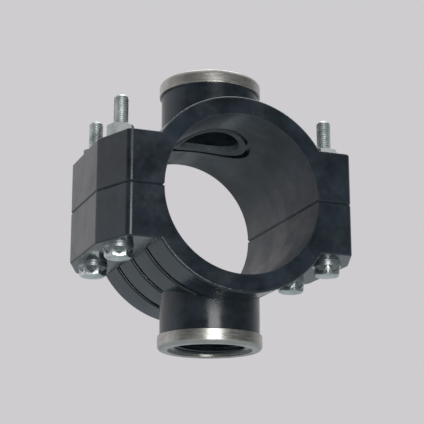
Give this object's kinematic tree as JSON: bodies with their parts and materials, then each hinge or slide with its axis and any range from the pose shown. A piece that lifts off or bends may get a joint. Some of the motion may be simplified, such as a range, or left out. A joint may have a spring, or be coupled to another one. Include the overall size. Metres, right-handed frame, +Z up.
{
  "type": "tapping saddle",
  "caption": "Plastic clamp saddle in two bolted halves for a round pipe, with opposed threaded outlets above and below, steel-ringed mouths and rubber outlet gaskets.",
  "frame": {"origin": "centre of the pipe bore, midway along the saddle, on the mating plane of the two halves", "axes": "+Y along the pipe, +Z up through the upper outlet, lugs on both sides along X"},
  "size_m": [0.184, 0.1228, 0.1928],
  "materials": {
    "black_polypropylene": "satin moulded black polypropylene",
    "stainless_ring": "satin drawn stainless steel",
    "zinc_plated_steel": "bright zinc plate",
    "rubber_gasket": "matt black rubber"
  },
  "bodies": {
    "lower_half": {"lower_shell": "black_polypropylene", "lower_ring": "stainless_ring", "lower_gasket": "rubber_gasket", "bolt_1": "zinc_plated_steel", "bolt_2": "zinc_plated_steel", "bolt_3": "zinc_plated_steel", "bolt_4": "zinc_plated_steel", "head_washer_1": "zinc_plated_steel", "head_washer_2": "zinc_plated_steel", "head_washer_3": "zinc_plated_steel", "head_washer_4": "zinc_plated_steel"},
    "upper_half": {"upper_shell": "black_polypropylene", "upper_ring": "stainless_ring", "upper_gasket": "rubber_gasket", "nut_washer_1": "zinc_plated_steel", "nut_washer_2": "zinc_plated_steel", "nut_washer_3": "zinc_plated_steel", "nut_washer_4": "zinc_plated_steel"},
    "nut_1": {"nut_1": "zinc_plated_steel"},
    "nut_2": {"nut_2": "zinc_plated_steel"},
    "nut_3": {"nut_3": "zinc_plated_steel"},
    "nut_4": {"nut_4": "zinc_plated_steel"}
  },
  "joints": [
    {"name": "half_lift", "type": "slide", "parent": "lower_half", "child": "upper_half", "axis": [0, 0, 1], "range_m": [0, 0.015]},
    {"name": "nut_1_turn", "type": "hinge", "parent": "upper_half", "child": "nut_1", "pos_m": [-0.0757, -0.03, 0.0426], "axis": [0, 0, 1], "range_deg": [0, 3600]},
    {"name": "nut_2_turn", "type": "hinge", "parent": "upper_half", "child": "nut_2", "pos_m": [-0.0757, 0.03, 0.0426], "axis": [0, 0, 1], "range_deg": [0, 3600]},
    {"name": "nut_3_turn", "type": "hinge", "parent": "upper_half", "child": "nut_3", "pos_m": [0.0757, -0.03, 0.0426], "axis": [0, 0, 1], "range_deg": [0, 3600]},
    {"name": "nut_4_turn", "type": "hinge", "parent": "upper_half", "child": "nut_4", "pos_m": [0.0757, 0.03, 0.0426], "axis": [0, 0, 1], "range_deg": [0, 3600]}
  ],
  "couplings": [
    {"joint": "nut_1_turn", "follows": "half_lift", "rad_per_m": 4188.8},
    {"joint": "nut_2_turn", "follows": "half_lift", "rad_per_m": 4188.8},
    {"joint": "nut_3_turn", "follows": "half_lift", "rad_per_m": 4188.8},
    {"joint": "nut_4_turn", "follows": "half_lift", "rad_per_m": 4188.8}
  ]
}
